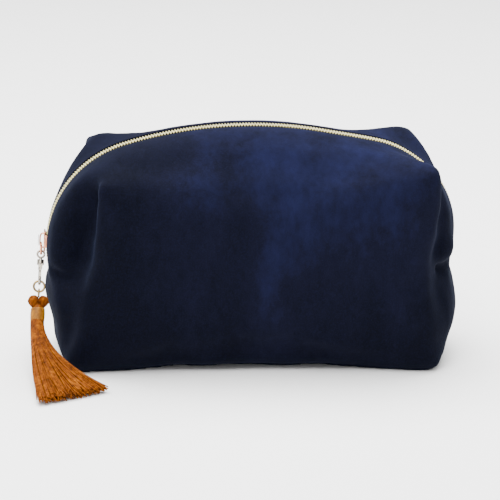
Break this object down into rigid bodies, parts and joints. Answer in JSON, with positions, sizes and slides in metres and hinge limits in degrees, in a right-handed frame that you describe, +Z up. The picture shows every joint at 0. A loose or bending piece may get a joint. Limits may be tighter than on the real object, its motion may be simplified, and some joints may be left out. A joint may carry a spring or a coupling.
{
  "type": "zippered pouch",
  "caption": "Boxy velvet cosmetic pouch on a flat base with a domed top zip from end to end and a silky tassel hung from the slider on a swivel clasp.",
  "frame": {"origin": "middle of the flat base, on the surface that the pouch stands on", "axes": "+X along the zip towards its far end (the slider is parked at -X), -Y towards the front, +Z up"},
  "size_m": [0.2303, 0.1269, 0.1294],
  "materials": {
    "velvet": "short-pile navy velvet",
    "foam": "soft white foam interlining",
    "lining": "plain woven navy lining",
    "binding": "woven navy bias binding",
    "zip_tape": "herringbone woven navy tape",
    "zip_teeth": "pale gold metallised coil",
    "rose_gold": "polished rose gold plating",
    "nickel": "bright nickel plating",
    "antique_brass": "antique brass plating",
    "tassel_thread": "silky amber thread",
    "tassel_wrap": "golden wrapped thread"
  },
  "bodies": {
    "pouch": {"front_panel": "velvet", "back_panel": "velvet", "front_interlining": "foam", "back_interlining": "foam", "front_lining": "lining", "back_lining": "lining", "corner_bindings": "binding", "end_bindings": "binding", "base_binding": "binding", "front_tape_ends": "zip_tape", "back_tape_ends": "zip_tape", "front_teeth_ends": "zip_teeth", "back_teeth_ends": "zip_teeth", "end_stops": "rose_gold"},
    "front_flap": {"front_flap_panel": "velvet", "front_flap_interlining": "foam", "front_flap_lining": "lining", "front_tape_top": "zip_tape", "front_teeth_top": "zip_teeth"},
    "back_flap": {"back_flap_panel": "velvet", "back_flap_interlining": "foam", "back_flap_lining": "lining", "back_tape_top": "zip_tape", "back_teeth_top": "zip_teeth"},
    "slider": {"slider_body": "rose_gold", "slider_crown": "rose_gold", "lock_spring": "nickel"},
    "puller": {"puller_link": "rose_gold"},
    "eye": {"swivel_eye": "nickel"},
    "clasp": {"clasp_hook": "nickel", "gate_rivet": "nickel", "gate_spring": "nickel"},
    "gate": {"clasp_gate": "nickel"},
    "ring": {"jump_ring": "antique_brass"},
    "tassel": {"tassel_loop": "antique_brass", "tassel_head": "tassel_thread", "tassel_binding": "tassel_wrap", "tassel_skirt": "tassel_thread"}
  },
  "joints": [
    {"name": "front_mouth", "type": "hinge", "parent": "pouch", "child": "front_flap", "pos_m": [0, -0.033, 0.1103], "axis": [1, 0, 0], "range_deg": [0, 70]},
    {"name": "back_mouth", "type": "hinge", "parent": "pouch", "child": "back_flap", "pos_m": [0, 0.033, 0.1103], "axis": [-1, 0, 0], "range_deg": [0, 70]},
    {"name": "slider_travel", "type": "hinge", "parent": "pouch", "child": "slider", "pos_m": [-0.051, 0, 0.062], "axis": [0, 1, 0], "range_deg": [0, 54]},
    {"name": "puller_swing", "type": "hinge", "parent": "slider", "child": "puller", "pos_m": [-0.11281, 0, 0.06221], "axis": [0, 1, 0], "range_deg": [0, 110]},
    {"name": "clasp_lean", "type": "hinge", "parent": "puller", "child": "eye", "pos_m": [-0.11272, 0, 0.05803], "axis": [0.9976, 0, -0.0698], "range_deg": [-16, 0]},
    {"name": "clasp_swivel", "type": "hinge", "parent": "eye", "child": "clasp", "pos_m": [-0.11302, -0.00252, 0.05367], "axis": [-0.0604, -0.5, -0.8639], "range_deg": [-8, 100]},
    {"name": "gate_open", "type": "hinge", "parent": "clasp", "child": "gate", "pos_m": [-0.11317, -0.00632, 0.05159], "axis": [0.9976, 0, -0.0698], "range_deg": [0, 25], "stiffness_Nm_per_rad": 0.0004, "springref_deg": -20.05},
    {"name": "ring_swing", "type": "hinge", "parent": "clasp", "child": "ring", "pos_m": [-0.11382, -0.00915, 0.04222], "axis": [-0.0349, 0.866, -0.4988], "range_deg": [-4, 35]},
    {"name": "tassel_swing", "type": "hinge", "parent": "ring", "child": "tassel", "pos_m": [-0.11409, -0.01132, 0.03848], "axis": [0.9976, 0, -0.0698], "range_deg": [-35, 0]}
  ]
}
